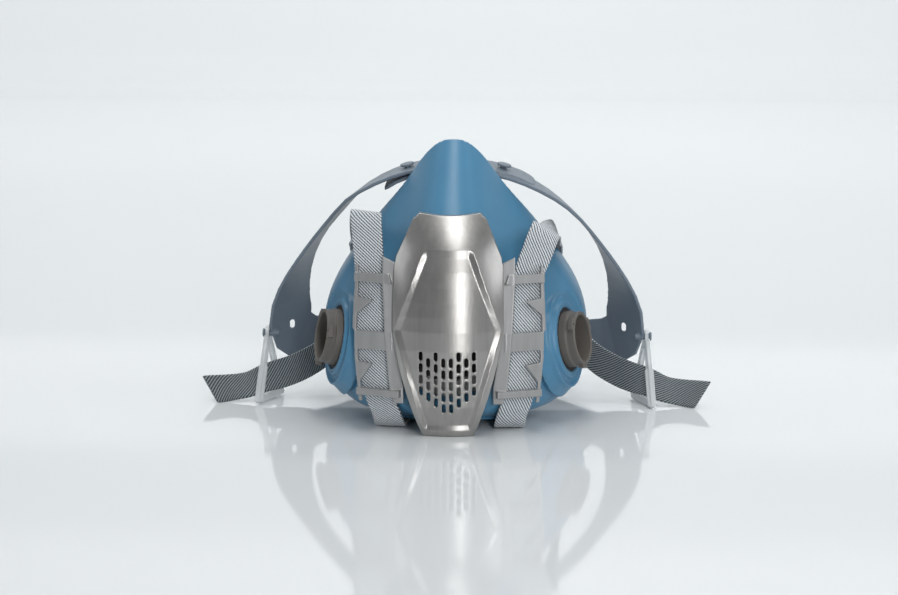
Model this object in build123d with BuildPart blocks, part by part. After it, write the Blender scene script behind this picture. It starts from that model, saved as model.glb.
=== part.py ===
from build123d import *
import os
from math import cos, radians, sin, sqrt

# Half-mask respirator with twin filter ports, an exhalation valve behind a front cover,
# a strap harness and a head cradle.  Millimetres, +Z up, the mask faces -Y.
# Left and right are as seen from in front.  A depth is a distance back from the foremost point.

# ---------------------------------------------------------------- driving dimensions
FRONT = -70.77  # y of the foremost point
CLEARANCE = 0.3  # between parts that move or flex past each other
FIT_GAP = 0.1  # between parts that are fixed together
SIDES = {"left": -1, "right": 1}

# Facepiece: half outlines (x, z) from the top of the nose round to the chin, by depth
FACE_OUTLINES = {
    18: [
        (0, 92), (12, 88), (18.5, 79.5), (23.5, 69), (27, 56),
        (29, 42), (27, 24), (19, 11.5), (9, 8), (0, 7.5),
    ],
    28: [
        (0, 105), (12, 100.5), (21.5, 87), (30, 74.5), (38, 60),
        (45, 42), (41, 18), (30, 8), (14, 5), (0, 4.5),
    ],
    40: [
        (0, 117), (11, 112.3), (23, 95), (34, 80.5), (46.5, 63),
        (54.5, 42), (50, 15.5), (37, 6), (18, 3.5), (0, 3.2),
    ],
    62: [
        (0, 138), (9.6, 133.2), (23.4, 110.8), (36.6, 93.2), (55.2, 67.5),
        (63.4, 42), (59, 16), (45.5, 6), (22, 3.2), (0, 3),
    ],
    96: [
        (0, 153), (12, 147), (25.8, 119), (38.4, 97), (57.5, 70),
        (65.5, 43), (60.5, 18), (47, 8.5), (23, 5.2), (0, 5),
    ],
}
SEAL_LINE = [(50, -20), (61, 0), (77, 20), (90, 58), (79, 97), (61, 139), (50, 160)]  # depth, z
SEAL_OPENING = [(0, 118), (12, 108), (30, 80), (44, 50), (38, 24), (0, 15)]  # half outline x, z
FACE_FRONT = min(FACE_OUTLINES)  # depth of the flat wall that carries the exhalation valve
FACE_WALL = 3.2
FRONT_WALL = 3.0
SEAL_THICKNESS = 2.2
SEAL_REACH = 58.0  # how far forward of the cheeks the seal's opening is cut

# Exhalation valve, centred on the front wall
VALVE_HEIGHT = 47.0
VALVE_DISC_RADIUS = 19.0
VALVE_TUBE_RADIUS = 21.8
VALVE_FLANGE_RADIUS = 25.2
VALVE_BORE_RADIUS = 17.5
SEAT_DEPTH = 15.9

# Filter ports: s is measured out along the port's axis from the face of its collar
PORT_CENTRE = (57.6, 47.3, 40.7)  # x, depth, z of the collar's face, right side
PORT_YAW = 72.0  # degrees from straight ahead
PORT_PITCH = 10.0  # degrees upward
PORT_BORE_RADIUS = 11.4
PORT_RADIUS = 13.15
PORT_REACH = 7.4
PORT_INNER_END = -12.0
COLLAR_RADIUS = 23.4
LUG_RADIUS = 14.9

# Front cover: (z, depth) of its middle line, and the bend across it
COVER_PROFILE = [(-4, 12.5), (10, 5.2), (25, 1.5), (42, 0), (62, 1.2), (84, 7.3), (93, 12.5), (109, 28)]
COVER_BEND = 40.0
COVER_WALL = 1.8
COVER_FRONT_WALL = 3.4  # leaves a full wall behind the recess
RECESS_DEPTH = 1.6
RECESS_OUTER = [(3.4, 11.3), (52, 25.6), (90, 11.6)]  # z, half width
RECESS_INNER = [(6.0, 10.0), (52, 22.4), (86.6, 9.9)]
SLOT_LENGTH = 4.46
SLOT_WIDTH = 1.73
SLOT_PITCH_X = 3.6
SLOT_PITCH_Z = 5.7
SLOT_COLUMNS = [(37.6, 5), (40.6, 5), (37.6, 4), (40.6, 4)]  # top slot's z and number, from the middle out

# Harness yoke: a ladder each side, bent back above the middle bar
LADDER_X = 30.0
LADDER_DEPTH = 13.2
LADDER_BEND_Z = 50.0
LADDER_YAW = 20.0
LADDER_LEAN = 8.0
LADDER_THICKNESS = 2.0
BAR_PROUD = 1.0  # how far the upper and lower bars stand in front of the ladder
WING_DEPTH = 12.4
WING_THICKNESS = 2.6

# Webbing and cradle
STRAP_WIDTH = 15.0
STRAP_THICKNESS = 1.4
CRADLE_THICKNESS = 1.7
PEG = (94.4, 92.0, 33.5)  # x, depth, z of the cradle's right hinge peg
PEG_RADIUS = 1.6

os.makedirs("parts", exist_ok=True)


# ---------------------------------------------------------------- shared helpers
def front_plane(depth):
    """Plane facing forward at a depth: local x is X and local y is Z."""
    return Plane(origin=(0, FRONT + depth, 0), x_dir=(1, 0, 0), z_dir=(0, -1, 0))


def at(x, depth, z):
    return Vector(x, FRONT + depth, z)


def save(builder, name):
    builder.part.label = name
    export_step(builder.part, f"parts/{name}.step")


def grown(outline, amount):
    """A half outline moved out along its normals, its ends staying on the middle plane."""
    moved = []
    last = len(outline) - 1
    for i, (x, z) in enumerate(outline):
        before = outline[i - 1] if i > 0 else (-outline[1][0], outline[1][1])
        after = outline[i + 1] if i < last else (-outline[-2][0], outline[-2][1])
        run_x = after[0] - before[0]
        run_z = after[1] - before[1]
        length = sqrt(run_x**2 + run_z**2)
        moved.append((x - run_z / length * amount, z + run_x / length * amount))
    return moved


def pear_face(depth, outline):
    """Closed symmetrical face through a half outline."""
    with BuildSketch(front_plane(depth)) as face:
        with BuildLine():
            Spline(*outline, tangents=[(1, 0), (-1, 0)])
            mirror(about=Plane.YZ)
        make_face()
    return face.sketch


def face_loft(growth):
    """Solid through the facepiece outlines, grown or shrunk."""
    sections = [pear_face(depth, grown(outline, growth)) for depth, outline in FACE_OUTLINES.items()]
    with BuildPart() as body:
        loft(sections)
    return body.part


def ahead_of_seal(shift):
    """Everything in front of the seal line, moved forward by a shift."""
    points = [(FRONT + depth - shift, z) for depth, z in SEAL_LINE]
    with BuildPart() as space:
        with BuildSketch(Plane.YZ):
            with BuildLine():
                Spline(*points)
                Polyline(points[-1], (FRONT - 20, points[-1][1]), (FRONT - 20, points[0][1]), points[0])
            make_face()
        extrude(amount=90, both=True)
    return space.part


def port_plane(side, s=0.0):
    """Plane across a port's axis, s out from the collar's face; side is -1 left or 1 right."""
    axis = Vector(
        side * sin(radians(PORT_YAW)) * cos(radians(PORT_PITCH)),
        -cos(radians(PORT_YAW)) * cos(radians(PORT_PITCH)),
        sin(radians(PORT_PITCH)),
    )
    centre = at(side * PORT_CENTRE[0], PORT_CENTRE[1], PORT_CENTRE[2])
    return Plane(origin=centre + axis * s, x_dir=axis.cross(Vector(0, 0, 1)), z_dir=axis)


def turned(profile, axis_plane):
    """Solid of revolution about a plane's normal, from (radius, height) corners."""
    section = Plane(origin=axis_plane.origin, x_dir=axis_plane.x_dir, z_dir=-axis_plane.y_dir)
    with BuildPart() as body:
        with BuildSketch(section):
            with BuildLine():
                Polyline(*profile, close=True)
            make_face()
        revolve(axis=Axis(axis_plane.origin, axis_plane.z_dir))
    return body.part


def ring(plane, outer, inner, low, high):
    return turned([(inner, low), (outer, low), (outer, high), (inner, high)], plane)


def disc(plane, radius, low, high):
    return turned([(0, low), (radius, low), (radius, high), (0, high)], plane)


VALVE_PLANE = Plane(origin=at(0, 0, VALVE_HEIGHT), x_dir=(1, 0, 0), z_dir=(0, 1, 0))  # heights are depths

# ---------------------------------------------------------------- facepiece
COLLAR_STEP = 2.4  # the collar's outer step lies this far below its face
COLLAR_BEAD = -0.9  # height of the bead round the outer step
BOSS_PROFILE = [
    (0, -8), (28, -8), (COLLAR_RADIUS + 0.6, -3), (COLLAR_RADIUS, COLLAR_BEAD), (22.2, COLLAR_BEAD),
    (21.5, -COLLAR_STEP), (19.4, -COLLAR_STEP), (18.5, 0), (0, 0),
]
FLANGE_RADIUS = 16.5
FLANGE_BACK = -3.3
FLANGE_FRONT = -1.8
LIP_RADIUS = 15.7

with BuildPart() as face_cavity:
    add(face_loft(-FACE_WALL))
    split(bisect_by=front_plane(FACE_FRONT + FRONT_WALL), keep=Keep.BOTTOM)
    add(ahead_of_seal(SEAL_THICKNESS), mode=Mode.INTERSECT)

with BuildPart() as facepiece:
    add(face_loft(0))
    add(ahead_of_seal(0), mode=Mode.INTERSECT)
    add(face_cavity.part, mode=Mode.SUBTRACT)
    with BuildSketch(front_plane(120)):
        with BuildLine():
            Spline(*SEAL_OPENING, tangents=[(1, 0), (-1, 0)])
            mirror(about=Plane.YZ)
        make_face()
    extrude(amount=SEAL_REACH, mode=Mode.SUBTRACT)
    for side in SIDES.values():
        add(disc(port_plane(side), COLLAR_RADIUS + 3, -0.8, 20), mode=Mode.SUBTRACT)
        add(turned(BOSS_PROFILE, port_plane(side)))
    for side in SIDES.values():
        groove_front = FLANGE_FRONT + 2 * FIT_GAP
        add(disc(port_plane(side), LIP_RADIUS, groove_front - FIT_GAP, 20), mode=Mode.SUBTRACT)
        add(disc(port_plane(side), FLANGE_RADIUS + FIT_GAP, FLANGE_BACK, groove_front), mode=Mode.SUBTRACT)
        add(disc(port_plane(side), PORT_RADIUS + 2 * FIT_GAP, -40, FLANGE_BACK + FIT_GAP), mode=Mode.SUBTRACT)
    add(disc(VALVE_PLANE, VALVE_TUBE_RADIUS + 2 * FIT_GAP, 10, 40), mode=Mode.SUBTRACT)
save(facepiece, "facepiece")

# ---------------------------------------------------------------- exhalation valve
SPOKE_WIDTH = 2.4
HUB_RADIUS = 3.4
STEM_RADIUS = 1.3
DISC_THICKNESS = 0.95
SEAT_GAP = 0.05  # between a closed flap and its seat
WALL_BACK = FACE_FRONT + FRONT_WALL

with BuildPart() as valve_body:
    add(ring(VALVE_PLANE, VALVE_FLANGE_RADIUS, VALVE_BORE_RADIUS, SEAT_DEPTH, FACE_FRONT))
    add(ring(VALVE_PLANE, VALVE_TUBE_RADIUS, VALVE_BORE_RADIUS, SEAT_DEPTH, WALL_BACK + 3.5))
    with BuildSketch(front_plane(SEAT_DEPTH + 3)):
        with Locations((0, VALVE_HEIGHT)):
            for turn in (0, 60, 120):
                Rectangle(2 * VALVE_BORE_RADIUS + 1, SPOKE_WIDTH, rotation=turn)
            Circle(HUB_RADIUS)
            Circle(STEM_RADIUS + CLEARANCE, mode=Mode.SUBTRACT)
    extrude(amount=2.0)
save(valve_body, "valve_body")

with BuildPart() as valve_ring:
    add(ring(VALVE_PLANE, 25, VALVE_TUBE_RADIUS + FIT_GAP, WALL_BACK + FIT_GAP, WALL_BACK + 3.0))
save(valve_ring, "valve_ring")

with BuildPart() as exhalation_valve:
    add(disc(VALVE_PLANE, VALVE_DISC_RADIUS, SEAT_DEPTH - DISC_THICKNESS, SEAT_DEPTH - SEAT_GAP))
    add(disc(VALVE_PLANE, STEM_RADIUS, SEAT_DEPTH - DISC_THICKNESS, SEAT_DEPTH + 6))
    add(disc(VALVE_PLANE, HUB_RADIUS - 1, SEAT_DEPTH + 4.8, SEAT_DEPTH + 6))
save(exhalation_valve, "exhalation_valve")

# ---------------------------------------------------------------- filter ports
LUG_ANGLES = (80, 200, 320)
LUG_SPREAD = 26
SEAT_LIP_RADIUS = 10.9  # the flap's seat, a little narrower than the bore
SEAT_LIP_TOP = -8.3
SPIDER_THICKNESS = 1.2
FLAP_STEM_RADIUS = 0.8
FLAP_THICKNESS = 0.65
for name, side in SIDES.items():
    base = port_plane(side)
    tube = [
        (SEAT_LIP_RADIUS, PORT_INNER_END),
        (PORT_RADIUS, PORT_INNER_END),
        (PORT_RADIUS, FLANGE_BACK),
        (FLANGE_RADIUS, FLANGE_BACK),
        (FLANGE_RADIUS, FLANGE_FRONT),
        (13.9, FLANGE_FRONT),
        (13.9, 2.8),
        (PORT_RADIUS, 3.2),
        (PORT_RADIUS, PORT_REACH - 0.4),
        (PORT_RADIUS - 0.4, PORT_REACH),
        (PORT_BORE_RADIUS + 0.3, PORT_REACH),
        (PORT_BORE_RADIUS, PORT_REACH - 0.3),
        (PORT_BORE_RADIUS, SEAT_LIP_TOP),
        (SEAT_LIP_RADIUS, SEAT_LIP_TOP),
    ]
    with BuildPart() as port:
        add(turned(tube, base))
        with BuildSketch(port_plane(side, PORT_REACH - 2.9)):
            for angle in LUG_ANGLES:
                with BuildLine():
                    inner = PORT_BORE_RADIUS + 1
                    start = angle - LUG_SPREAD / 2
                    outer_arc = CenterArc((0, 0), LUG_RADIUS, start, LUG_SPREAD)
                    inner_arc = CenterArc((0, 0), inner, start, LUG_SPREAD)
                    Line(outer_arc @ 0, inner_arc @ 0)
                    Line(outer_arc @ 1, inner_arc @ 1)
                make_face()
        extrude(amount=2.6)
        with BuildSketch(port_plane(side, PORT_REACH)):
            with PolarLocations(PORT_RADIUS + 0.15, 3, start_angle=LUG_ANGLES[0]):
                RegularPolygon(0.95, 3)
        extrude(amount=-2.0, mode=Mode.SUBTRACT)
        with BuildSketch(port_plane(side, PORT_INNER_END)):
            for turn in (0, 60, 120):
                Rectangle(2 * SEAT_LIP_RADIUS + 1, 1.6, rotation=turn)
            Circle(2.6)
            Circle(FLAP_STEM_RADIUS + CLEARANCE, mode=Mode.SUBTRACT)
        extrude(amount=SPIDER_THICKNESS)
    save(port, f"{name}_port")

    with BuildPart() as nut:
        add(ring(base, 17.5, PORT_RADIUS + FIT_GAP, -10.6, -8 - FIT_GAP))
    save(nut, f"{name}_port_nut")

    with BuildPart() as gasket:
        add(ring(base, LIP_RADIUS - 2 * FIT_GAP, 13.9 + FIT_GAP, FLANGE_FRONT + FIT_GAP, -0.5))
    save(gasket, f"{name}_gasket")

    with BuildPart() as flap:
        add(disc(base, PORT_RADIUS - 0.9, PORT_INNER_END - FLAP_THICKNESS, PORT_INNER_END - SEAT_GAP))
        add(disc(base, FLAP_STEM_RADIUS, PORT_INNER_END - FLAP_THICKNESS, PORT_INNER_END + 3.4))
        add(disc(base, 2 * FLAP_STEM_RADIUS, PORT_INNER_END + 2.8, PORT_INNER_END + 3.4))
    save(flap, f"{name}_inhalation_valve")

# ---------------------------------------------------------------- harness yoke
UPPER_BAR = [(-2, 73.5), (17.6, 73.5), (17.6, 77.8), (-0.5, 77.8)]  # u outward along the ladder, z
MIDDLE_BAR = [(-3, 41), (16.6, 41), (16.6, 50), (-3, 50)]
LOWER_BAR = [(-7, 18.6), (15.4, 18.6), (15.4, 22), (-7, 22)]
UPPER_RAIL = [(15.8, 49), (17.6, 51), (17.6, 81.5), (16.3, 81.5), (15.8, 74)]
LOWER_RAIL = [(14.6, 43), (16.2, 43), (16.6, 38), (14.4, 15.6), (12.8, 15.6), (15.0, 38)]
UPPER_CLEAT = [(16.5, 66.2), (8.0, 65), (16.5, 57.5)]
LOWER_CLEAT = [(15.6, 35), (7.4, 34), (14.6, 24.5)]
# Wings beside the cover: distance from the middle, z
WING_UPPER = [(25.6, 49.5), (25.6, 60), (24.4, 70), (25.6, 83.6), (31.6, 86.5), (31.6, 72), (30.6, 49.5)]
WING_LOWER = [(24, 50.5), (30.6, 50.5), (28.4, 24), (26, 15.5), (21.5, 15.5), (21.5, 24), (24, 40)]


def ladder_plane(side, lean):
    """Front face of a ladder: local x outward along the ladder and local y up."""
    outward = Vector(side * cos(radians(LADDER_YAW)), sin(radians(LADDER_YAW)), 0)
    up = Vector(0, sin(radians(lean)), cos(radians(lean)))
    origin = at(side * LADDER_X, LADDER_DEPTH, LADDER_BEND_Z)
    return Plane(origin=origin, x_dir=outward, z_dir=outward.cross(up))


def wing_plane(side, lean):
    """Front face of a wing, square to the front: local x outward and local y up."""
    outward = Vector(side, 0, 0)
    up = Vector(0, sin(radians(lean)), cos(radians(lean)))
    return Plane(origin=at(0, WING_DEPTH, LADDER_BEND_Z), x_dir=outward, z_dir=outward.cross(up))


def plate(plane, side, outline, thickness):
    """Flat plate behind a plane, from an outline given with z from the floor."""
    points = [(across, z - LADDER_BEND_Z) for across, z in outline]
    with BuildPart() as piece:
        with BuildSketch(plane):
            with BuildLine():
                Polyline(*points, close=True)
            make_face()
        extrude(amount=-side * thickness)
    return piece.part


with BuildPart() as harness_yoke:
    add(ring(VALVE_PLANE, 28, VALVE_DISC_RADIUS + 1.2, 13.6, SEAT_DEPTH - FIT_GAP))
    for side in SIDES.values():
        upper = ladder_plane(side, LADDER_LEAN)
        lower = ladder_plane(side, 0)
        for outline in (UPPER_RAIL, UPPER_CLEAT):
            add(plate(upper, side, outline, LADDER_THICKNESS))
        for outline in (MIDDLE_BAR, LOWER_RAIL, LOWER_CLEAT):
            add(plate(lower, side, outline, LADDER_THICKNESS))
        bar_thickness = LADDER_THICKNESS + BAR_PROUD
        add(plate(upper.offset(side * BAR_PROUD), side, UPPER_BAR, bar_thickness))
        add(plate(lower.offset(side * BAR_PROUD), side, LOWER_BAR, bar_thickness))
        add(plate(wing_plane(side, LADDER_LEAN), side, WING_UPPER, WING_THICKNESS))
        add(plate(wing_plane(side, 0), side, WING_LOWER, WING_THICKNESS))
save(harness_yoke, "harness_yoke")

# ---------------------------------------------------------------- front cover
COVER_TOP = 105.8
SHIELD_LEFT = [(-14.5, COVER_TOP), (-17.6, 103), (-26, 84.5), (-26.5, 52)]
SHIELD_LOW = [(-26.5, 52), (-22.4, 31), (-12.2, 0)]
COVER_HALF_CHORD = 32.0
COVER_BACK = 60.0
RIM_SIDE_VIEW = [(-10, 12.0), (50, 12.0), (84.5, 16.8), (110, 34)]  # z, depth of the cover's rear rim
RECESS_STEPS = 6
RECESS_RUN_OUT = 0.6  # how far the recess cutter runs past its ends


def sagged(half_chord):
    """How far the cover's front falls back at a distance from its middle line."""
    return COVER_BEND - sqrt(COVER_BEND**2 - half_chord**2)


def profile_curve():
    return Spline(*[(FRONT + depth, z) for z, depth in COVER_PROFILE], mode=Mode.PRIVATE)


def profile_depth(curve, z):
    """Depth of the cover's middle line at a height."""
    low = 0.0
    high = 1.0
    for _ in range(30):
        middle = (low + high) / 2
        if (curve @ middle).Y < z:
            low = middle
        else:
            high = middle
    return (curve @ low).X - FRONT


def d_section(z, depth, wall):
    """Horizontal section of the cover's filled shape, its front moved back by a wall."""
    radius = COVER_BEND - wall
    chord = COVER_HALF_CHORD - wall
    front = FRONT + depth + wall
    side_y = front + radius - sqrt(radius**2 - chord**2)
    back = FRONT + COVER_BACK
    with BuildSketch(Plane.XY.offset(z)) as section:
        with BuildLine():
            ThreePointArc((-chord, side_y), (0, front), (chord, side_y))
            Polyline((chord, side_y), (chord, back), (-chord, back), (-chord, side_y))
        make_face()
    return section.sketch


def shield_prism(inset):
    """The cover's outline from in front, inset all round and run through its depth."""
    with BuildPart() as prism:
        with BuildSketch(front_plane(-5)):
            with BuildLine():
                Polyline(*SHIELD_LEFT)
                ThreePointArc(*SHIELD_LOW)
                mirror(about=Plane.YZ)
                ThreePointArc(
                    (SHIELD_LEFT[0][0], COVER_TOP), (0, COVER_TOP - 0.9), (-SHIELD_LEFT[0][0], COVER_TOP)
                )
                Line((SHIELD_LOW[2][0], SHIELD_LOW[2][1]), (-SHIELD_LOW[2][0], SHIELD_LOW[2][1]))
            make_face()
            if inset:
                offset(amount=-inset, mode=Mode.REPLACE)
        extrude(amount=-60)
    return prism.part


def width_at(breaks, z):
    """Half width between the corners of a (z, half width) outline."""
    for (z0, w0), (z1, w1) in zip(breaks, breaks[1:]):
        if z <= z1:
            return w0 + (w1 - w0) * (z - z0) / (z1 - z0)
    return breaks[-1][1]


def recess_section(curve, z, outer, inner, sink):
    """Section of the recess cutter: sloping sides down to a floor that follows the front."""
    middle = FRONT + profile_depth(curve, z)
    rim = middle + sagged(outer) + min(sink, 0)
    floor = middle + sagged(inner) + sink
    with BuildSketch(Plane.XY.offset(z)) as section:
        with BuildLine():
            ThreePointArc((-inner, floor), (0, middle + sink), (inner, floor))
            Polyline((inner, floor), (outer, rim), (outer + 1, FRONT - 4), (-outer - 1, FRONT - 4))
            Polyline((-outer - 1, FRONT - 4), (-outer, rim), (-inner, floor))
        make_face()
    return section.sketch


def recess_half(curve, z_rim, z_floor, z_waist):
    """Half of the recess cutter, from where its floor leaves the front to the widest height."""
    run_out = RECESS_RUN_OUT if z_rim > z_floor else -RECESS_RUN_OUT
    lift = -RECESS_DEPTH * run_out / (z_rim - z_floor)
    end_outer = width_at(RECESS_OUTER, z_rim)
    end_inner = width_at(RECESS_INNER, z_floor)
    sections = [recess_section(curve, z_rim + run_out, end_outer, end_inner, lift)]
    for step in range(RECESS_STEPS):
        z = z_floor + (z_waist - z_floor) * step / (RECESS_STEPS - 1)
        outer = width_at(RECESS_OUTER, z)
        sections.append(recess_section(curve, z, outer, width_at(RECESS_INNER, z), RECESS_DEPTH))
    with BuildPart() as half:
        loft(sections, ruled=True)
    return half.part


middle_line = profile_curve()
with BuildPart() as cover_outer:
    loft([d_section(z, depth, 0) for z, depth in COVER_PROFILE])
with BuildPart() as cover_inner:
    loft([d_section(z, depth, COVER_FRONT_WALL) for z, depth in COVER_PROFILE])
with BuildPart() as behind_rim:
    with BuildSketch(Plane.YZ):
        with BuildLine():
            rim_points = [(FRONT + depth, z) for z, depth in RIM_SIDE_VIEW]
            Polyline(*rim_points, (FRONT + 80, 110), (FRONT + 80, -10), close=True)
        make_face()
    extrude(amount=60, both=True)

with BuildPart() as front_cover:
    add(cover_outer.part)
    add(shield_prism(0), mode=Mode.INTERSECT)
    add(cover_inner.part & shield_prism(COVER_WALL), mode=Mode.SUBTRACT)
    add(behind_rim.part, mode=Mode.SUBTRACT)
    add(face_loft(0.6), mode=Mode.SUBTRACT)
    add(recess_half(middle_line, RECESS_OUTER[0][0], RECESS_INNER[0][0], 52), mode=Mode.SUBTRACT)
    add(recess_half(middle_line, RECESS_OUTER[2][0], RECESS_INNER[2][0], 52), mode=Mode.SUBTRACT)
    with BuildSketch(front_plane(-5)):
        for column, (top, count) in enumerate(SLOT_COLUMNS):
            for row in range(count):
                z = top - row * SLOT_PITCH_Z
                x = SLOT_PITCH_X * (column + 0.5)
                with Locations((x, z), (-x, z)):
                    SlotOverall(SLOT_LENGTH, SLOT_WIDTH, rotation=90)
    extrude(amount=-22, mode=Mode.SUBTRACT)
save(front_cover, "front_cover")


# ---------------------------------------------------------------- webbing straps
def ribbon(stations, width, thickness):
    """Flat band through stations, each a point (x, depth, z) and the way its width runs."""
    centres = [at(*station[0]) for station in stations]
    last = len(stations) - 1
    sections = []
    for i, station in enumerate(stations):
        ahead = (centres[min(i + 1, last)] - centres[max(i - 1, 0)]).normalized()
        across = Vector(*station[1])
        across = (across - ahead * across.dot(ahead)).normalized()
        with BuildSketch(Plane(origin=centres[i], x_dir=across, z_dir=ahead)) as section:
            Rectangle(width, thickness)
        sections.append(section.sketch)
    with BuildPart() as band:
        loft(sections, ruled=True)
    return band.part


CLASP_BAR = (16.0, 101.0, 2.95)  # |x|, depth, z of the bar in each neck clasp half
CLASP_BAR_RADIUS = 1.2
LOOP_RADIUS = 2.2
FLOOR_LIFT = STRAP_THICKNESS / 2 + 0.05


def strap_stations(side, front_run, rear_run):
    """From the loop at the neck clasp, under the chin and up the ladder, back to the cut tail."""
    flat = (1, 0, 0)
    bar_x, bar_depth, bar_z = CLASP_BAR
    loop = [
        ((bar_x, bar_depth - 12, FLOOR_LIFT + 1.6), flat),
        ((bar_x, bar_depth - 5, bar_z + 1.6), flat),
    ]
    for turn in (100, 60, 20, -20, -60, -90):
        y = bar_depth + LOOP_RADIUS * cos(radians(turn))
        z = bar_z + LOOP_RADIUS * sin(radians(turn))
        loop.append(((bar_x, y, z), flat))
    floor_run = [
        ((bar_x + 0.6, 92, FLOOR_LIFT), flat),
        ((19.5, 78, FLOOR_LIFT), (1, 0.2, 0)),
        ((24.5, 62, FLOOR_LIFT), (1, 0.25, 0)),
        ((27.8, 46, FLOOR_LIFT), (1, 0.12, 0)),
        ((28.8, 33, FLOOR_LIFT), (1, 0.05, 0)),
        ((29.0, 27.5, 1.6), (1, 0.1, 0)),
        ((29.4, 23.2, 4.6), (1, 0.2, 0)),
        ((30.4, 20.6, 9), (1, 0.3, 0)),
    ]
    stations = loop + floor_run + front_run + rear_run
    return [((side * x, y, z), (side * ax, ay, az)) for (x, y, z), (ax, ay, az) in stations]


LADDER_ACROSS = (0.94, 0.34, 0)
LEFT_FRONT_RUN = [
    ((33.2, 18.9, 17), LADDER_ACROSS),
    ((36.4, 19.4, 38), LADDER_ACROSS),
    ((37.0, 19.6, 47), LADDER_ACROSS),
    ((38.0, 22.6, 68), LADDER_ACROSS),
    ((38.4, 23.9, 78), LADDER_ACROSS),
    ((39.6, 26.3, 95), (0.96, 0.2, 0.05)),
    ((40.2, 27.2, 102.5), (0.98, 0.08, 0.12)),
    ((40.3, 28.2, 104.6), (0.99, 0.05, 0.14)),
    ((40.4, 30.4, 105.4), (0.99, 0.05, 0.14)),
]
LEFT_REAR_RUN = [
    ((40.9, 33.5, 104.2), (0.98, 0, -0.05)),
    ((42.2, 42, 98.8), (0.9, 0, -0.35)),
    ((45.0, 58, 92.4), (0.65, 0, -0.76)),
    ((48.4, 74, 89.4), (0.55, 0, -0.83)),
    ((51.2, 90, 85.4), (0.3, -0.4, -0.85)),
    ((51.4, 100.5, 76.5), (0.2, -0.8, -0.55)),
    ((50.5, 105.5, 64), (0.1, -0.96, 0.3)),
    ((53.0, 107.5, 48), (0.3, -0.8, 0.6)),
    ((60.0, 106, 32), (0.3, -0.5, 0.8)),
    ((70.0, 101, 21.0), (0, -0.1, 1)),
    ((80.0, 95.5, 15.6), (0, 0.1, 1)),
    ((89.0, 89.7, 12.9), (0, 0.3, 0.95)),
    ((97.0, 86.2, 11.1), (0, 0.55, 0.8)),
    ((106.0, 83.6, 8.0), (-0.1, 0.7, 0.7)),
    ((116.0, 81.5, 6.65), (-0.15, 0.68, 0.72)),
    ((125.0, 77.5, 6.6), (-0.25, 0.66, 0.72)),
]
RIGHT_FRONT_RUN = LEFT_FRONT_RUN[:5] + [
    ((41.4, 25.2, 86), (0.94, 0.2, -0.25)),
    ((44.2, 26.6, 93.5), (0.88, 0.12, -0.42)),
    ((45.4, 28.0, 96.3), (0.86, 0.1, -0.5)),
    ((46.2, 31.0, 97.4), (0.85, 0.1, -0.5)),
]
RIGHT_REAR_RUN = [
    ((46.6, 35, 96.2), (0.84, 0, -0.52)),
    ((46.8, 44, 93.2), (0.8, 0, -0.6)),
    ((47.6, 58, 90.8), (0.72, 0, -0.7)),
    ((49.0, 74, 89.0), (0.55, 0, -0.83)),
] + LEFT_REAR_RUN[4:]
STRAP_RUNS = {"left": (LEFT_FRONT_RUN, LEFT_REAR_RUN), "right": (RIGHT_FRONT_RUN, RIGHT_REAR_RUN)}

for name, side in SIDES.items():
    front_run, rear_run = STRAP_RUNS[name]
    with BuildPart() as strap:
        add(ribbon(strap_stations(side, front_run, rear_run), STRAP_WIDTH, STRAP_THICKNESS))
    save(strap, f"{name}_strap")

# ---------------------------------------------------------------- strap buckles
BUCKLE_FOOT_FRONT = (99.5, 74.0, 2.2)
BUCKLE_FOOT_REAR = (91.0, 95.5, 2.2)
BUCKLE_LEG = 3.4
BUCKLE_THICKNESS = 2.2
BUCKLE_BAR = (4.4, 20.5, 2.4)  # the front leg's broad part that lies over the strap: width, length, thickness
EYE_RADIUS = 3.6
EYE_CENTRE = 2.5  # out from the middle of the cradle's edge
EYE_THICKNESS = 1.8
PEG_LENGTH = 4.2
PEG_HEAD_RADIUS = 2.3
PEG_HEAD_THICKNESS = 0.9

for name, side in SIDES.items():
    eye = at(side * (PEG[0] + EYE_CENTRE), PEG[1], PEG[2])
    front_foot = at(side * BUCKLE_FOOT_FRONT[0], *BUCKLE_FOOT_FRONT[1:])
    rear_foot = at(side * BUCKLE_FOOT_REAR[0], *BUCKLE_FOOT_REAR[1:])
    along = (rear_foot - front_foot).normalized()
    loop_plane = Plane(origin=front_foot, x_dir=along, z_dir=along.cross(eye - front_foot))
    corners = [loop_plane.to_local_coords(corner) for corner in (front_foot, rear_foot, eye)]
    eye_plane = Plane(origin=eye, x_dir=(0, 1, 0), z_dir=(1, 0, 0))
    up_leg = (eye - front_foot).normalized()
    level = (Vector(1, 0, 0) - up_leg * up_leg.X).normalized()
    bar_plane = Plane(origin=front_foot, x_dir=level, z_dir=level.cross(up_leg))
    bar_width, bar_length, bar_thickness = BUCKLE_BAR
    triangle = [(corner.X, corner.Y) for corner in corners]
    with BuildPart() as buckle:
        with BuildSketch(loop_plane):
            with BuildLine():
                Polyline(*triangle, close=True)
            make_face()
            offset(amount=BUCKLE_LEG / 2, kind=Kind.ARC, mode=Mode.REPLACE)
        extrude(amount=BUCKLE_THICKNESS / 2, both=True)
        with BuildSketch(loop_plane):
            with BuildLine():
                Polyline(*triangle, close=True)
            make_face()
            offset(amount=-BUCKLE_LEG / 2, mode=Mode.REPLACE)
        extrude(amount=BUCKLE_THICKNESS, both=True, mode=Mode.SUBTRACT)
        with BuildSketch(bar_plane):
            with Locations((0, bar_length / 2 - BUCKLE_LEG / 2 + 0.2)):
                RectangleRounded(bar_width, bar_length, 1.6)
        extrude(amount=bar_thickness / 2, both=True)
        add(disc(eye_plane, EYE_RADIUS, -EYE_THICKNESS / 2, EYE_THICKNESS / 2))
        add(disc(eye_plane, PEG_RADIUS + CLEARANCE, -9, 9), mode=Mode.SUBTRACT)
    save(buckle, f"{name}_buckle")

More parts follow.
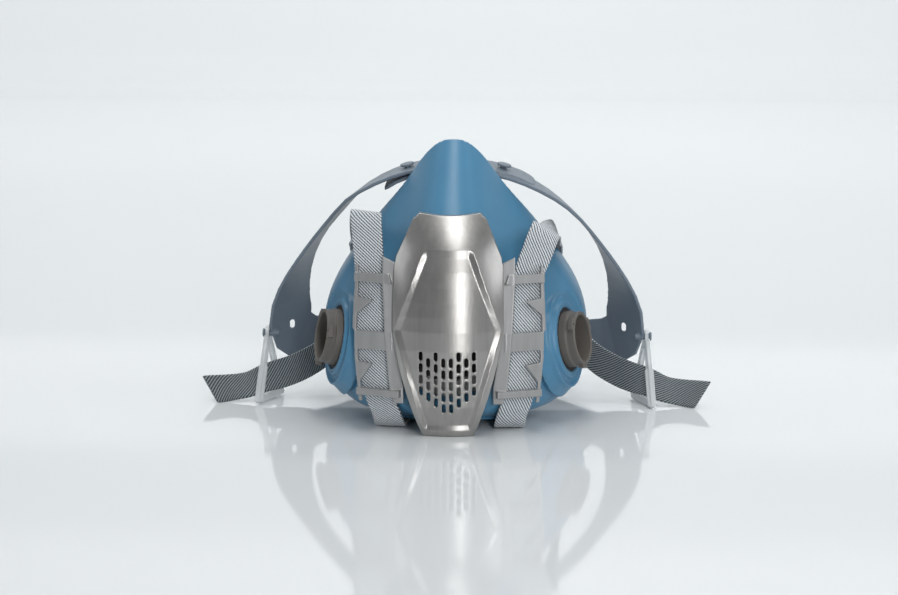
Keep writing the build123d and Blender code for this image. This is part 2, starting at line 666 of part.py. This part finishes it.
# ---------------------------------------------------------------- head cradle
# The moulded band from the crown down to its corner and round behind the head, as points (x, depth, z)
CRADLE_EDGES = [  # front or lower edge, then rear or upper edge
    ((0.0, 73.0, 119.4), (0.0, 93.0, 121.6)),
    ((24.0, 74.0, 117.2), (22.0, 94.0, 119.2)),
    ((43.0, 76.0, 109.6), (40.5, 95.5, 111.2)),
    ((58.0, 80.0, 99.6), (56.0, 99.0, 99.4)),
    ((71.0, 84.5, 85.2), (67.0, 103.0, 87.0)),
    ((80.4, 88.0, 71.0), (75.0, 106.5, 72.0)),
    ((88.8, 90.5, 54.0), (78.8, 109.8, 55.0)),
    ((93.4, 92.0, 37.5), (78.3, 113.0, 45.0)),
    ((93.4, 94.5, 26.4), (76.0, 116.6, 38.6)),
    ((88.2, 101.5, 19.2), (72.0, 120.2, 35.8)),
    ((76.5, 113.5, 16.6), (65.5, 124.8, 34.4)),
    ((54.0, 127.0, 10.5), (50.0, 131.6, 30.6)),
    ((28.0, 135.8, 4.6), (27.0, 137.4, 24.8)),
    ((0.0, 139.0, 0.3), (0.0, 139.0, 20.4)),
]
CRADLE_STATIONS = 34
OVERLAP_RIGHT = 40.0  # how far the upper crown layer reaches past the middle
OVERLAP_LEFT = 36.0
LAYER_GAP = 0.15
CROWN_HEIGHT = 95.0  # the upper layer is lifted over the lower one above this
CROWN_MIDDLE = 85.8  # depth of the crown band's middle near its two ends
CROWN_WIDTH = 20.2
CROWN_CORNER = 5.0
STUD_X = 23.5
STUD_RADIUS = 3.6
STUD_PIN_RADIUS = 1.6
SIZE_HOLE_X = 42.5
PLATE_HOLE = (85.6, 36.0)  # x, z


def mirrored_start(edge, reach):
    """Edge points with the crown end carried past the middle plane."""
    share = reach / edge[2][0]
    return [(-x * share, depth, z) for x, depth, z in (edge[2], edge[1])] + list(edge)


def cradle_half(side, lift, reach):
    """One half of the cradle band, its crown end carried past the middle by a reach."""
    front_curve = Spline(*mirrored_start([pair[0] for pair in CRADLE_EDGES], reach), mode=Mode.PRIVATE)
    rear_curve = Spline(*mirrored_start([pair[1] for pair in CRADLE_EDGES], reach), mode=Mode.PRIVATE)
    sections = []
    for i in range(CRADLE_STATIONS + 1):
        t = i / CRADLE_STATIONS
        across = rear_curve @ t - front_curve @ t
        centre = front_curve @ t + across * 0.5
        ahead = ((front_curve % t) + (rear_curve % t)).normalized()
        if i == CRADLE_STATIONS:
            ahead = Vector(-1, 0, 0)
        level = across - ahead * across.dot(ahead)
        raise_by = lift * min(1.0, max(0.0, (centre.Z - CROWN_HEIGHT) / 8))
        plane = Plane(
            origin=at(side * centre.X, centre.Y, centre.Z + raise_by),
            x_dir=(side * level.X, level.Y, level.Z),
            z_dir=(side * ahead.X, ahead.Y, ahead.Z),
        )
        with BuildSketch(plane) as section:
            Rectangle(across.length, CRADLE_THICKNESS)
        sections.append(section.sketch)
    with BuildPart() as band:
        loft(sections, ruled=True)
    return band.part


def crown_plane(x, above):
    """Plane lying on the crown band at x, raised above the lower layer's middle."""
    (x0, y0, z0), (x1, y1, z1) = CRADLE_EDGES[1]
    slope = (CRADLE_EDGES[0][0][2] - CRADLE_EDGES[2][0][2]) / CRADLE_EDGES[2][0][0]
    along = Vector(1, 0, -slope if x > 0 else slope)
    across = Vector(0, y1 - y0, z1 - z0)
    normal = along.cross(across).normalized()
    drop = slope * (abs(x) - x0)
    origin = at(x, (y0 + y1) / 2, (z0 + z1) / 2 - drop) + normal * above
    return Plane(origin=origin, x_dir=along, z_dir=normal)


def rounded_end(x, inward):
    """Cutter that rounds the two corners of a crown layer's end at x."""
    middle = FRONT + CROWN_MIDDLE
    with BuildPart() as cutter:
        with BuildSketch(Plane.XY.offset(CROWN_HEIGHT)):
            with Locations((x - inward * 4, middle)):
                Rectangle(16, 40)
            with Locations((x - inward * 10, middle)):
                RectangleRounded(20, CROWN_WIDTH, CROWN_CORNER, mode=Mode.SUBTRACT)
        extrude(amount=30)
    return cutter.part


UPPER_LIFT = CRADLE_THICKNESS + LAYER_GAP
with BuildPart() as upper_half:
    add(cradle_half(-1, UPPER_LIFT, OVERLAP_RIGHT))
    add(rounded_end(OVERLAP_RIGHT - 0.5, 1), mode=Mode.SUBTRACT)
    for x in (-STUD_X, STUD_X, -SIZE_HOLE_X):
        add(disc(crown_plane(x, 0), STUD_PIN_RADIUS + CLEARANCE, 0.95, 8), mode=Mode.SUBTRACT)

with BuildPart() as lower_half:
    add(cradle_half(1, 0.0, OVERLAP_LEFT))
    add(rounded_end(-OVERLAP_LEFT + 0.5, -1), mode=Mode.SUBTRACT)

with BuildPart() as head_cradle:
    add(upper_half.part)
    add(lower_half.part)
    for x in (-STUD_X, STUD_X):
        add(disc(crown_plane(x, 0), STUD_PIN_RADIUS, 0, 4.2))
        add(disc(crown_plane(x, 0), STUD_RADIUS, 3.2, 4.4))
    for side in SIDES.values():
        peg_plane = Plane(origin=at(side * PEG[0], PEG[1], PEG[2]), x_dir=(0, 1, 0), z_dir=(side, 0, 0))
        add(disc(peg_plane, PEG_RADIUS, -3.5, PEG_LENGTH + 0.6))
        add(disc(peg_plane, PEG_HEAD_RADIUS, PEG_LENGTH, PEG_LENGTH + PEG_HEAD_THICKNESS))
        with BuildSketch(front_plane(125)):
            with Locations((side * PLATE_HOLE[0], PLATE_HOLE[1])):
                SlotOverall(4.6, 2.2, rotation=90)
        extrude(amount=40, mode=Mode.SUBTRACT)
save(head_cradle, "head_cradle")

# ---------------------------------------------------------------- neck clasp
CLASP_HALF_WIDTH = 10.0
CLASP_ARM = 2.0
CLASP_BODY = (5.2, 12.5)  # from the bar to the body's near and far sides
CLASP_THICKNESS = 2.4

# Each half is a bar, two arms and a body laid flat, with a tongue on one and an eye on the other
for name, side in (("neck_clasp_hook", -1), ("neck_clasp_loop", 1)):
    bar_x, bar_depth, bar_z = CLASP_BAR
    base = Plane(origin=at(side * bar_x, bar_depth, bar_z), x_dir=(1, 0, 0), z_dir=(0, 0, 1))
    near, far = CLASP_BODY
    with BuildPart() as clasp:
        with BuildSketch(base):
            with Locations((0, (near + far) / 2)):
                RectangleRounded(2 * CLASP_HALF_WIDTH, far - near, 1.5)
            for arm_side in (-1, 1):
                with Locations((arm_side * (CLASP_HALF_WIDTH - CLASP_ARM / 2), (near + 1) / 2)):
                    Rectangle(CLASP_ARM, near + 1 + 2 * CLASP_BAR_RADIUS)
            if name == "neck_clasp_loop":
                with Locations((0, far + 4.5)):
                    RectangleRounded(16, 13, 2)
                    Rectangle(10.6, 7, mode=Mode.SUBTRACT)
            else:
                with Locations((0, far + 4)):
                    RectangleRounded(9.6, 11, 1.5)
        extrude(amount=CLASP_THICKNESS / 2, both=True)
        if name == "neck_clasp_hook":
            with BuildSketch(base):
                with Locations((0, far + 8)):
                    RectangleRounded(9.6, 2.4, 0.6)
            extrude(amount=5)
        bar_plane = Plane(origin=base.origin, x_dir=(0, 1, 0), z_dir=(1, 0, 0))
        add(disc(bar_plane, CLASP_BAR_RADIUS, -CLASP_HALF_WIDTH + 0.5, CLASP_HALF_WIDTH - 0.5))
    save(clasp, name)
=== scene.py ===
"""Looks of the half-mask respirator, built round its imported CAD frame."""

import math

import bmesh
import bpy
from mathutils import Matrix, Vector


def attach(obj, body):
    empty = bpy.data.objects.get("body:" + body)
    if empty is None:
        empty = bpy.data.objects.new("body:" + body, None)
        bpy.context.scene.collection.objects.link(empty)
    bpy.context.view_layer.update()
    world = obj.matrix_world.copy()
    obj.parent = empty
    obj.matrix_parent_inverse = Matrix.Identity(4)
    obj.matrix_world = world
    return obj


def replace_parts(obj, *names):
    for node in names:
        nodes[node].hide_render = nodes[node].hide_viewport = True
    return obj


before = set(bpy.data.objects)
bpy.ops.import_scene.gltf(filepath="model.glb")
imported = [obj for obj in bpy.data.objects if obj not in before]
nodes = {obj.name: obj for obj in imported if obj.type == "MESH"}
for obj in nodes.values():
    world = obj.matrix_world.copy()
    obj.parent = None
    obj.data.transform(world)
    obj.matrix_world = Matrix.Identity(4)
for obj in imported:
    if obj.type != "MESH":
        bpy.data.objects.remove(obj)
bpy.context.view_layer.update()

MM = 0.001
PER_METRE = 1000  # millimetres
FRONT = -70.77  # y of the foremost point in millimetres; a depth is measured back from it


def at(x, depth, z):
    """A point given in millimetres with its depth from the front."""
    return Vector((x, FRONT + depth, z)) * MM


# ---------------------------------------------------------------- camera
AZIMUTH = math.radians(3)
ELEVATION = math.radians(10.5)
DISTANCE = 1.1
TARGET = at(0, 20, 66)

camera = bpy.data.objects.new("camera", bpy.data.cameras.new("camera"))
bpy.context.collection.objects.link(camera)
away = Vector(
    (
        math.sin(AZIMUTH) * math.cos(ELEVATION),
        -math.cos(AZIMUTH) * math.cos(ELEVATION),
        math.sin(ELEVATION),
    )
)
camera.location = TARGET + away * DISTANCE
camera.rotation_mode = "QUATERNION"
camera.rotation_quaternion = (-away).to_track_quat("-Z", "Y")
camera.data.sensor_width = 36
camera.data.lens = 92.25
bpy.context.scene.camera = camera


# ---------------------------------------------------------------- node helpers
class Finish:
    """A procedural material around one Principled shader."""

    def __init__(self, name, **sockets):
        self.material = bpy.data.materials.new(name)
        self.material.use_nodes = True
        self.tree = self.material.node_tree
        self.shader = self.tree.nodes["Principled BSDF"]
        for socket, value in sockets.items():
            self.shader.inputs[socket.replace("_", " ")].default_value = value
        self.place = self.add("ShaderNodeTexCoord").outputs["Object"]

    def add(self, kind, **settings):
        node = self.tree.nodes.new(kind)
        for key, value in settings.items():
            setattr(node, key, value)
        return node

    def link(self, source, target):
        self.tree.links.new(source, target)

    def math(self, operation, a, b=0.0, clamp=False):
        node = self.add("ShaderNodeMath", operation=operation, use_clamp=clamp)
        for socket, value in zip(node.inputs, (a, b)):
            if hasattr(value, "default_value"):
                self.link(value, socket)
            else:
                socket.default_value = value
        return node.outputs[0]

    def noise(self, scale, detail=3.0, rough=0.5, stretch=None):
        node = self.add("ShaderNodeTexNoise")
        node.inputs["Scale"].default_value = scale
        node.inputs["Detail"].default_value = detail
        node.inputs["Roughness"].default_value = rough
        place = self.place
        if stretch:
            mapping = self.add("ShaderNodeMapping")
            mapping.inputs["Scale"].default_value = stretch
            self.link(place, mapping.inputs["Vector"])
            place = mapping.outputs["Vector"]
        self.link(place, node.inputs["Vector"])
        return node.outputs["Fac"]

    def ramp(self, value, *stops):
        """A colour ramp with (position, linear colour) stops."""
        node = self.add("ShaderNodeValToRGB")
        elements = node.color_ramp.elements
        while len(elements) < len(stops):
            elements.new(0.5)
        for element, (position, colour) in zip(elements, stops):
            element.position = position
            element.color = (*colour, 1)
        self.link(value, node.inputs["Fac"])
        return node.outputs["Color"]

    def colour(self, socket):
        self.link(socket, self.shader.inputs["Base Color"])

    def roughness(self, value, low, high):
        node = self.add("ShaderNodeMapRange")
        node.inputs["To Min"].default_value = low
        node.inputs["To Max"].default_value = high
        self.link(value, node.inputs["Value"])
        self.link(node.outputs["Result"], self.shader.inputs["Roughness"])

    def bump(self, height, distance, strength=1.0, previous=None):
        """Relief of a distance in metres, on top of an earlier bump's normal if one is given."""
        node = self.add("ShaderNodeBump")
        node.inputs["Distance"].default_value = distance
        node.inputs["Strength"].default_value = strength
        self.link(height, node.inputs["Height"])
        if previous:
            self.link(previous, node.inputs["Normal"])
        self.link(node.outputs["Normal"], self.shader.inputs["Normal"])
        return node.outputs["Normal"]


def shades(colour, spread):
    """A colour and two neighbours of it, darker and lighter by a share."""
    return [tuple(c * (1 + k * spread) for c in colour) for k in (-1, 0, 1)]


# ---------------------------------------------------------------- finishes
def moulded(name, colour, low, high, spread=0.06, grain=900, depth=0.00003, **sockets):
    """Moulded plastic or rubber: faint flow marks, a fine grain and uneven gloss."""
    finish = Finish(name, **sockets)
    dark, middle, light = shades(colour, spread)
    flow = finish.noise(38, 4, 0.55)
    finish.colour(finish.ramp(flow, (0.3, dark), (0.5, middle), (0.72, light)))
    finish.roughness(finish.noise(120, 5, 0.6), low, high)
    soft = finish.bump(flow, 0.0001, 0.25)
    finish.bump(finish.noise(grain, 2, 0.5), depth, 0.5, soft)
    return finish.material


elastomer = moulded(
    "elastomer", (0.068, 0.23, 0.385), 0.3, 0.38, 0.05, 1400, 0.00002, Sheen_Weight=0.08
)
cradle_plastic = moulded("cradle_plastic", (0.165, 0.205, 0.25), 0.36, 0.48)
port_plastic = moulded("port_plastic", (0.135, 0.122, 0.108), 0.42, 0.56, 0.1)
dark_plastic = moulded("dark_plastic", (0.045, 0.048, 0.052), 0.4, 0.55)
valve_rubber = moulded("valve_rubber", (0.02, 0.02, 0.021), 0.5, 0.65)


def metallic_paint(name, colour, metallic, low, high):
    """Silver paint over plastic: fine flakes, brushed a little along its height."""
    finish = Finish(name, Metallic=metallic)
    dark, middle, light = shades(colour, 0.09)
    streak = finish.noise(260, 4, 0.6, (1, 1, 0.06))
    finish.colour(finish.ramp(streak, (0.3, dark), (0.5, middle), (0.7, light)))
    finish.roughness(finish.noise(700, 3, 0.6), low, high)
    soft = finish.bump(streak, 0.00002, 0.3)
    finish.bump(finish.noise(2600, 2, 0.5), 0.00001, 0.4, soft)
    return finish.material


silver_plastic = metallic_paint("silver_plastic", (0.4, 0.39, 0.375), 0.92, 0.26, 0.36)
grey_plastic = metallic_paint("grey_plastic", (0.38, 0.38, 0.38), 0.5, 0.36, 0.46)


def frosted():
    """Translucent plastic, clouded and softly rough."""
    finish = Finish("clear_plastic", Transmission_Weight=0.45, IOR=1.4)
    clouding = finish.noise(90, 3, 0.5)
    finish.colour(finish.ramp(clouding, (0.3, (0.84, 0.87, 0.88)), (0.7, (0.92, 0.94, 0.95))))
    finish.roughness(finish.noise(300, 4, 0.6), 0.3, 0.45)
    finish.bump(finish.noise(700, 3, 0.5), 0.00003, 0.4)
    return finish.material


clear_plastic = frosted()

# Pitches of the knit in millimetres
WEAVE_PITCH = 1.65  # along the strap from one row to the next
WARP_PITCH = 0.8  # across the strap


def webbing(name, thread, gap, slope, fullness):
    """Knitted elastic: slanting rows of thread with short dark gaps between them.

    The pattern follows the strap's own UV map, which is in metres. More fullness shows more
    thread and less gap.
    """
    finish = Finish(name, Roughness=0.85, Sheen_Weight=0.3)
    cloth = finish.add("ShaderNodeUVMap", uv_map="weave")
    split = finish.add("ShaderNodeSeparateXYZ")
    finish.link(cloth.outputs["UV"], split.inputs["Vector"])
    along = finish.math("MULTIPLY", split.outputs["X"], PER_METRE)
    across = finish.math("MULTIPLY", split.outputs["Y"], PER_METRE)
    wobble = finish.math("MULTIPLY", finish.math("SUBTRACT", finish.noise(700, 2, 0.5), 0.5), 0.45)
    diagonal = finish.math("ADD", along, finish.math("MULTIPLY", across, slope))
    swayed = finish.math("ADD", diagonal, wobble)
    phase = finish.math("MULTIPLY", swayed, 2 * math.pi / WEAVE_PITCH)
    rib = finish.math("ADD", finish.math("MULTIPLY", finish.math("SINE", phase), 0.5), 0.5)
    warp = finish.math("SINE", finish.math("MULTIPLY", across, 2 * math.pi / WARP_PITCH))
    stitch = finish.math("ADD", finish.math("MULTIPLY", warp, 0.16), fullness)
    fuzz = finish.math("MULTIPLY", finish.math("SUBTRACT", finish.noise(3800, 3, 0.7), 0.5), 0.4)
    shown = finish.math("ADD", finish.math("ADD", rib, stitch), fuzz, clamp=True)
    middle = tuple((a + b) / 2 for a, b in zip(thread, gap))
    finish.colour(finish.ramp(shown, (0.16, gap), (0.38, middle), (0.6, thread)))
    finish.bump(finish.math("ADD", rib, finish.math("MULTIPLY", warp, 0.12)), 0.00026, 0.8)
    return finish.material


webbing_face = webbing("webbing_face", (0.74, 0.78, 0.82), (0.05, 0.06, 0.07), -1.0, 0.05)
# The reverse's thread and gaps are about a third as bright as the face's. This is painted shade
# for the strap's rear runs and tails. The rows slanting the other way are the knit's own.
webbing_reverse_painted_shade = webbing("webbing_reverse_painted_shade", (0.27, 0.31, 0.33), (0.014, 0.017, 0.02), 1.0, -0.1)

NODE_FINISH = {
    "facepiece": elastomer,
    "front_cover": silver_plastic,
    "harness_yoke": grey_plastic,
    "valve_body": dark_plastic,
    "valve_ring": dark_plastic,
    "exhalation_valve": valve_rubber,
    "head_cradle": cradle_plastic,
    "neck_clasp_hook": dark_plastic,
    "neck_clasp_loop": dark_plastic,
}
for side in ("left", "right"):
    NODE_FINISH[f"{side}_port"] = port_plastic
    NODE_FINISH[f"{side}_port_nut"] = dark_plastic
    NODE_FINISH[f"{side}_gasket"] = valve_rubber
    NODE_FINISH[f"{side}_inhalation_valve"] = valve_rubber
    NODE_FINISH[f"{side}_buckle"] = clear_plastic
for name, finish in NODE_FINISH.items():
    slots = nodes[name].data.materials
    slots.clear()
    slots.append(finish)


# ---------------------------------------------------------------- moulded edges
def soften(name, voxel, passes):
    """Rounds a node's edges as moulding does: an even skin of voxels in mm, then smoothing."""
    skin = nodes[name].modifiers.new("skin", "REMESH")
    skin.mode = "VOXEL"
    skin.voxel_size = voxel * MM
    skin.use_smooth_shade = True
    ease = nodes[name].modifiers.new("ease", "SMOOTH")
    ease.factor = 0.5
    ease.iterations = passes


soften("facepiece", 0.6, 3)
soften("front_cover", 0.34, 2)
soften("harness_yoke", 0.3, 2)
soften("head_cradle", 0.42, 2)
for side in ("left", "right"):
    soften(f"{side}_port", 0.26, 2)
    soften(f"{side}_buckle", 0.3, 3)
for name in ("neck_clasp_hook", "neck_clasp_loop"):
    soften(name, 0.3, 2)

# ---------------------------------------------------------------- straps
# Lengths in millimetres; each station is a point and the direction of the strap's width
STRAP_WIDTH = 15.0
STRAP_THICKNESS = 1.4
STEP = 0.8  # between rows
COLUMNS = 16  # quads across each face
EDGE_THINNING = 0.35  # share of the thickness lost at the very edge
EDGE_POWER = 8
SLANT = 2.6  # how far the cut tail runs out beyond its middle at one edge
SLANT_LENGTH = 12  # how far back from the cut the slant fades out


def neck_end():
    """Stations from the loop round the clasp's bar, along the floor to under the chin."""
    bar_x, bar_depth, bar_z, radius = 16.0, 101.0, 2.95, 2.2
    flat = (1, 0, 0)
    loop = [((bar_x, 89.0, 2.35), flat), ((bar_x, 96.0, 4.55), flat)]
    for turn in (100, 60, 20, -20, -60, -90):
        depth = bar_depth + radius * math.cos(math.radians(turn))
        z = bar_z + radius * math.sin(math.radians(turn))
        loop.append(((bar_x, depth, z), flat))
    floor = [
        ((16.6, 92, 0.75), flat),
        ((19.5, 78, 0.75), (1, 0.2, 0)),
        ((24.5, 62, 0.75), (1, 0.25, 0)),
        ((27.8, 46, 0.75), (1, 0.12, 0)),
        ((28.8, 33, 0.75), (1, 0.05, 0)),
        ((29.0, 27.5, 1.6), (1, 0.1, 0)),
        ((29.4, 23.2, 4.6), (1, 0.2, 0)),
        ((30.4, 20.6, 9), (1, 0.3, 0)),
    ]
    return loop + floor


LADDER = (0.94, 0.34, 0)
LADDER_RUN = [
    ((33.2, 18.9, 17), LADDER),
    ((36.4, 19.4, 38), LADDER),
    ((37.0, 19.6, 47), LADDER),
    ((38.0, 22.6, 68), LADDER),
    ((38.4, 23.9, 78), LADDER),
]
LEFT_FOLD = [
    ((39.6, 26.3, 95), (0.96, 0.2, 0.05)),
    ((40.2, 27.2, 102.5), (0.98, 0.08, 0.12)),
    ((40.3, 28.2, 104.6), (0.99, 0.05, 0.14)),
    ((40.4, 30.4, 105.4), (0.99, 0.05, 0.14)),
    ((40.9, 33.5, 104.2), (0.98, 0, -0.05)),
    ((42.2, 42, 98.8), (0.9, 0, -0.35)),
    ((45.0, 58, 92.4), (0.65, 0, -0.76)),
    ((48.4, 74, 89.4), (0.55, 0, -0.83)),
]
RIGHT_FOLD = [
    ((41.4, 25.2, 86), (0.94, 0.2, -0.25)),
    ((44.2, 26.6, 93.5), (0.88, 0.12, -0.42)),
    ((45.4, 28.0, 96.3), (0.86, 0.1, -0.5)),
    ((46.2, 31.0, 97.4), (0.85, 0.1, -0.5)),
    ((46.6, 35, 96.2), (0.84, 0, -0.52)),
    ((46.8, 44, 93.2), (0.8, 0, -0.6)),
    ((47.6, 58, 90.8), (0.72, 0, -0.7)),
    ((49.0, 74, 89.0), (0.55, 0, -0.83)),
]
TAIL_RUN = [
    ((51.2, 90, 85.4), (0.3, -0.4, -0.85)),
    ((51.4, 100.5, 76.5), (0.2, -0.8, -0.55)),
    ((50.5, 105.5, 64), (0.1, -0.96, 0.3)),
    ((53.0, 107.5, 48), (0.3, -0.8, 0.6)),
    ((60.0, 106, 32), (0.3, -0.5, 0.8)),
    ((70.0, 101, 21.0), (0, -0.1, 1)),
    ((80.0, 95.5, 15.6), (0, 0.1, 1)),
    ((89.0, 89.7, 12.9), (0, 0.3, 0.95)),
    ((97.0, 86.2, 11.1), (0, 0.55, 0.8)),
    ((106.0, 83.6, 8.0), (-0.1, 0.7, 0.7)),
    ((116.0, 81.5, 6.65), (-0.15, 0.68, 0.72)),
    ((125.0, 77.5, 6.6), (-0.25, 0.66, 0.72)),
]


def eased(points, i, t):
    """A point on the smooth curve through points, a share t of the way from i to i + 1."""
    p0 = points[max(i - 1, 0)]
    p1, p2 = points[i], points[i + 1]
    p3 = points[min(i + 2, len(points) - 1)]
    d1 = max((p2 - p1).length, 1e-9)
    m1 = m2 = p2 - p1
    if i:
        d0 = max((p1 - p0).length, 1e-9)
        m1 = ((p1 - p0) / d0 * d1 + (p2 - p1) / d1 * d0) / (d0 + d1) * d1
    if i + 2 < len(points):
        d2 = max((p3 - p2).length, 1e-9)
        m2 = ((p2 - p1) / d1 * d2 + (p3 - p2) / d2 * d1) / (d1 + d2) * d1
    t2, t3 = t * t, t * t * t
    return (
        p1 * (2 * t3 - 3 * t2 + 1)
        + m1 * (t3 - 2 * t2 + t)
        + p2 * (3 * t2 - 2 * t3)
        + m2 * (t3 - t2)
    )


def strap(name, side, fold):
    """One length of webbing through its stations, with rounded edges and a slanted cut end."""
    stations = neck_end() + LADDER_RUN + fold + TAIL_RUN
    centres = [at(side * p[0], p[1], p[2]) for p, _ in stations]
    widths = [Vector((side * w[0], w[1], w[2])).normalized() for _, w in stations]
    rows = []
    for i in range(len(centres) - 1):
        count = max(2, round((centres[i + 1] - centres[i]).length / (STEP * MM)))
        for k in range(count):
            t = k / count
            rows.append((eased(centres, i, t), widths[i].lerp(widths[i + 1], t)))
    rows.append((centres[-1], widths[-1]))

    half, thick = STRAP_WIDTH / 2 * MM, STRAP_THICKNESS / 2 * MM
    outline = []
    for k in range(COLUMNS + 1):
        v = -1 + 2 * k / COLUMNS
        outline.append((v * half, thick * (1 - EDGE_THINNING * abs(v) ** EDGE_POWER)))
    for k in range(COLUMNS + 1):
        v = 1 - 2 * k / COLUMNS
        outline.append((v * half, -thick * (1 - EDGE_THINNING * abs(v) ** EDGE_POWER)))

    mesh = bmesh.new()
    weave = mesh.loops.layers.uv.new("weave")
    rings, lengths, length = [], [], 0.0
    last = len(rows) - 1
    for i, (centre, width) in enumerate(rows):
        ahead = (rows[min(i + 1, last)][0] - rows[max(i - 1, 0)][0]).normalized()
        width = (width - ahead * width.dot(ahead)).normalized()
        face = ahead.cross(width) * -side
        if i:
            length += (centre - rows[i - 1][0]).length
        slant = SLANT * MM * max(0.0, 1 - (last - i) * STEP / SLANT_LENGTH)
        ring = [
            mesh.verts.new(centre + width * v + face * h + ahead * (v / half * slant))
            for v, h in outline
        ]
        rings.append(ring)
        lengths.append(length)
    size = len(outline)
    for i in range(last):
        for k in range(size):
            n = (k + 1) % size
            corners = [rings[i][k], rings[i][n], rings[i + 1][n], rings[i + 1][k]]
            quad = mesh.faces.new(corners)
            quad.smooth = True
            # Faces on the reverse side take the reverse webbing, darkened with painted shade.
            quad.material_index = 0 if k <= COLUMNS else 1
            here, there = lengths[i], lengths[i + 1]
            spots = [(here, k), (here, n), (there, n), (there, k)]
            for loop, (u, j) in zip(quad.loops, spots):
                loop[weave].uv = (u, outline[j][0] * -side)
    # The cut ends also take the reverse webbing with its painted shade.
    for ring, u in ((rings[0], 0.0), (rings[-1], length)):
        end = mesh.faces.new(ring)
        end.material_index = 1
        for loop, (v, h) in zip(end.loops, outline):
            loop[weave].uv = (u + h, v * -side)
    bmesh.ops.recalc_face_normals(mesh, faces=mesh.faces)
    data = bpy.data.meshes.new(name)
    mesh.to_mesh(data)
    mesh.free()
    data.materials.append(webbing_face)
    data.materials.append(webbing_reverse_painted_shade)
    band = bpy.data.objects.new(name, data)
    bpy.context.collection.objects.link(band)
    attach(band, "mask")
    return band


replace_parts(strap("left_webbing", -1, LEFT_FOLD), "left_strap")
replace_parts(strap("right_webbing", 1, RIGHT_FOLD), "right_strap")


# ---------------------------------------------------------------- studio
# Metres
FLOOR_NEAR = -3.0
FLOOR_HALF_WIDTH = 4
SWEEP_START = 1.6
SWEEP_RADIUS = 0.8
SWEEP_STEPS = 12
BACKDROP_TOP = 3.5


def studio_floor():
    """A glossy pale floor that sweeps up far behind."""
    mesh = bmesh.new()
    profile = [(FLOOR_NEAR, 0.0), (SWEEP_START, 0.0)]
    for k in range(1, SWEEP_STEPS + 1):
        turn = math.radians(90 * k / SWEEP_STEPS)
        back = SWEEP_START + SWEEP_RADIUS * math.sin(turn)
        profile.append((back, SWEEP_RADIUS - SWEEP_RADIUS * math.cos(turn)))
    profile.append((SWEEP_START + SWEEP_RADIUS, BACKDROP_TOP))
    edges = (-FLOOR_HALF_WIDTH, FLOOR_HALF_WIDTH)
    rows = [[mesh.verts.new((x, y, z)) for x in edges] for y, z in profile]
    for a, b in zip(rows, rows[1:]):
        mesh.faces.new((a[0], a[1], b[1], b[0])).smooth = True
    data = bpy.data.meshes.new("floor")
    mesh.to_mesh(data)
    mesh.free()
    finish = Finish("floor", IOR=1.5)
    patches = finish.noise(1.2, 2, 0.5)
    finish.colour(finish.ramp(patches, (0.3, (0.76, 0.79, 0.8)), (0.7, (0.79, 0.81, 0.82))))
    finish.roughness(finish.noise(14, 3, 0.6), 0.05, 0.08)
    data.materials.append(finish.material)
    floor = bpy.data.objects.new("floor", data)
    bpy.context.collection.objects.link(floor)


def softbox(name, place, towards, size, power, colour=(1, 1, 1)):
    """A rectangular lamp that the camera doesn't see, in metres and watts."""
    light = bpy.data.lights.new(name, "AREA")
    light.shape = "RECTANGLE"
    light.size, light.size_y = size
    light.energy = power
    light.color = colour
    lamp = bpy.data.objects.new(name, light)
    bpy.context.collection.objects.link(lamp)
    lamp.location = place
    lamp.visible_camera = False
    lamp.rotation_mode = "QUATERNION"
    lamp.rotation_quaternion = (Vector(towards) - Vector(place)).to_track_quat("-Z", "Y")


MASK_MIDDLE = (0, -0.03, 0.06)
COOL = (0.94, 0.98, 1)

studio_floor()
softbox("overhead", (0.05, -0.25, 1.1), MASK_MIDDLE, (0.22, 0.9), 3.4)
softbox("front_strip", (0.37, -1.33, 0.42), (0, -0.03, 0.07), (0.17, 1.3), 7.5)
softbox("right_fill", (1.3, -0.4, 0.7), MASK_MIDDLE, (0.9, 0.9), 4.8, COOL)
softbox("left_fill", (-1.4, -0.2, 0.75), MASK_MIDDLE, (0.8, 0.8), 2.6, COOL)
softbox("backdrop_wash", (0, 0.9, 1.8), (0, 2.2, 0.3), (2.8, 0.6), 35)

world = bpy.data.worlds.new("studio")
bpy.context.scene.world = world
world.use_nodes = True
sky = world.node_tree.nodes["Background"]
sky.inputs["Color"].default_value = (0.86, 0.9, 0.93, 1)
sky.inputs["Strength"].default_value = 0.27
bpy.context.scene.view_settings.view_transform = "Standard"
